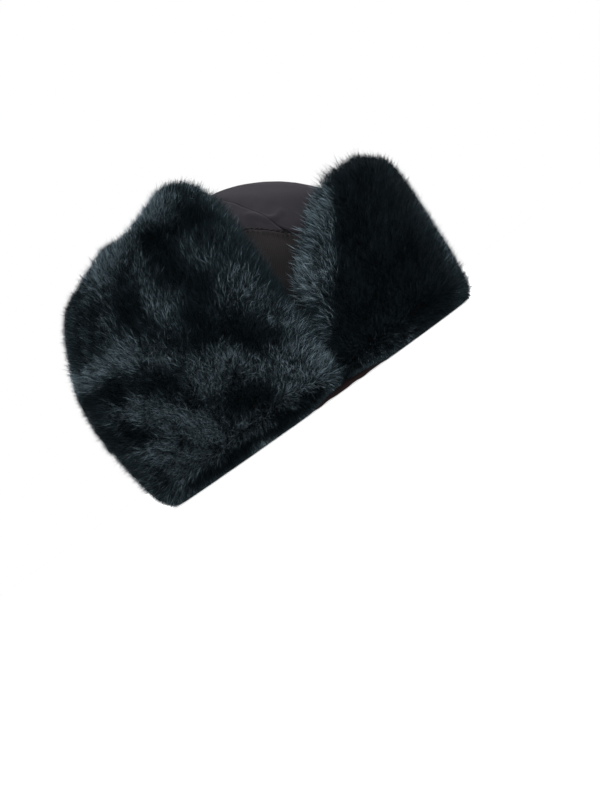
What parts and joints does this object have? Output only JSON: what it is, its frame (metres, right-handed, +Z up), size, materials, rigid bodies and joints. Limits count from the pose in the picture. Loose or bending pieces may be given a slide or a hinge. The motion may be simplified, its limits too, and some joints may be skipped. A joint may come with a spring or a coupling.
{
  "type": "ushanka",
  "caption": "Winter hat with a round cloth crown, a turned-up fur visor and fur ear and neck flaps folded up round the crown and tied over its top.",
  "frame": {"origin": "middle of the hat's box in plan, on the ground that its rim stands on", "axes": "+Z up out of the crown, -Y forward through the visor, -X to the wearer's right"},
  "size_m": [0.2204, 0.2556, 0.1712],
  "materials": {
    "crown_cloth": "matt dark brown-purple woven cloth with a fine vertical rib",
    "lining_cloth": "smooth dark red-brown lining cloth",
    "fur": "dense near-black plush fur with a cool sheen"
  },
  "bodies": {
    "root": {"crown_band": "crown_cloth", "crown_gore_1": "crown_cloth", "crown_gore_2": "crown_cloth", "crown_gore_3": "crown_cloth", "crown_gore_4": "crown_cloth", "crown_gore_5": "crown_cloth", "crown_gore_6": "crown_cloth", "ear_and_neck_flap_cloth": "crown_cloth", "ear_and_neck_flap_fur": "fur", "sweatband": "lining_cloth", "top_tie": "crown_cloth", "visor_cloth": "crown_cloth", "visor_fur": "fur"}
  },
  "joints": []
}
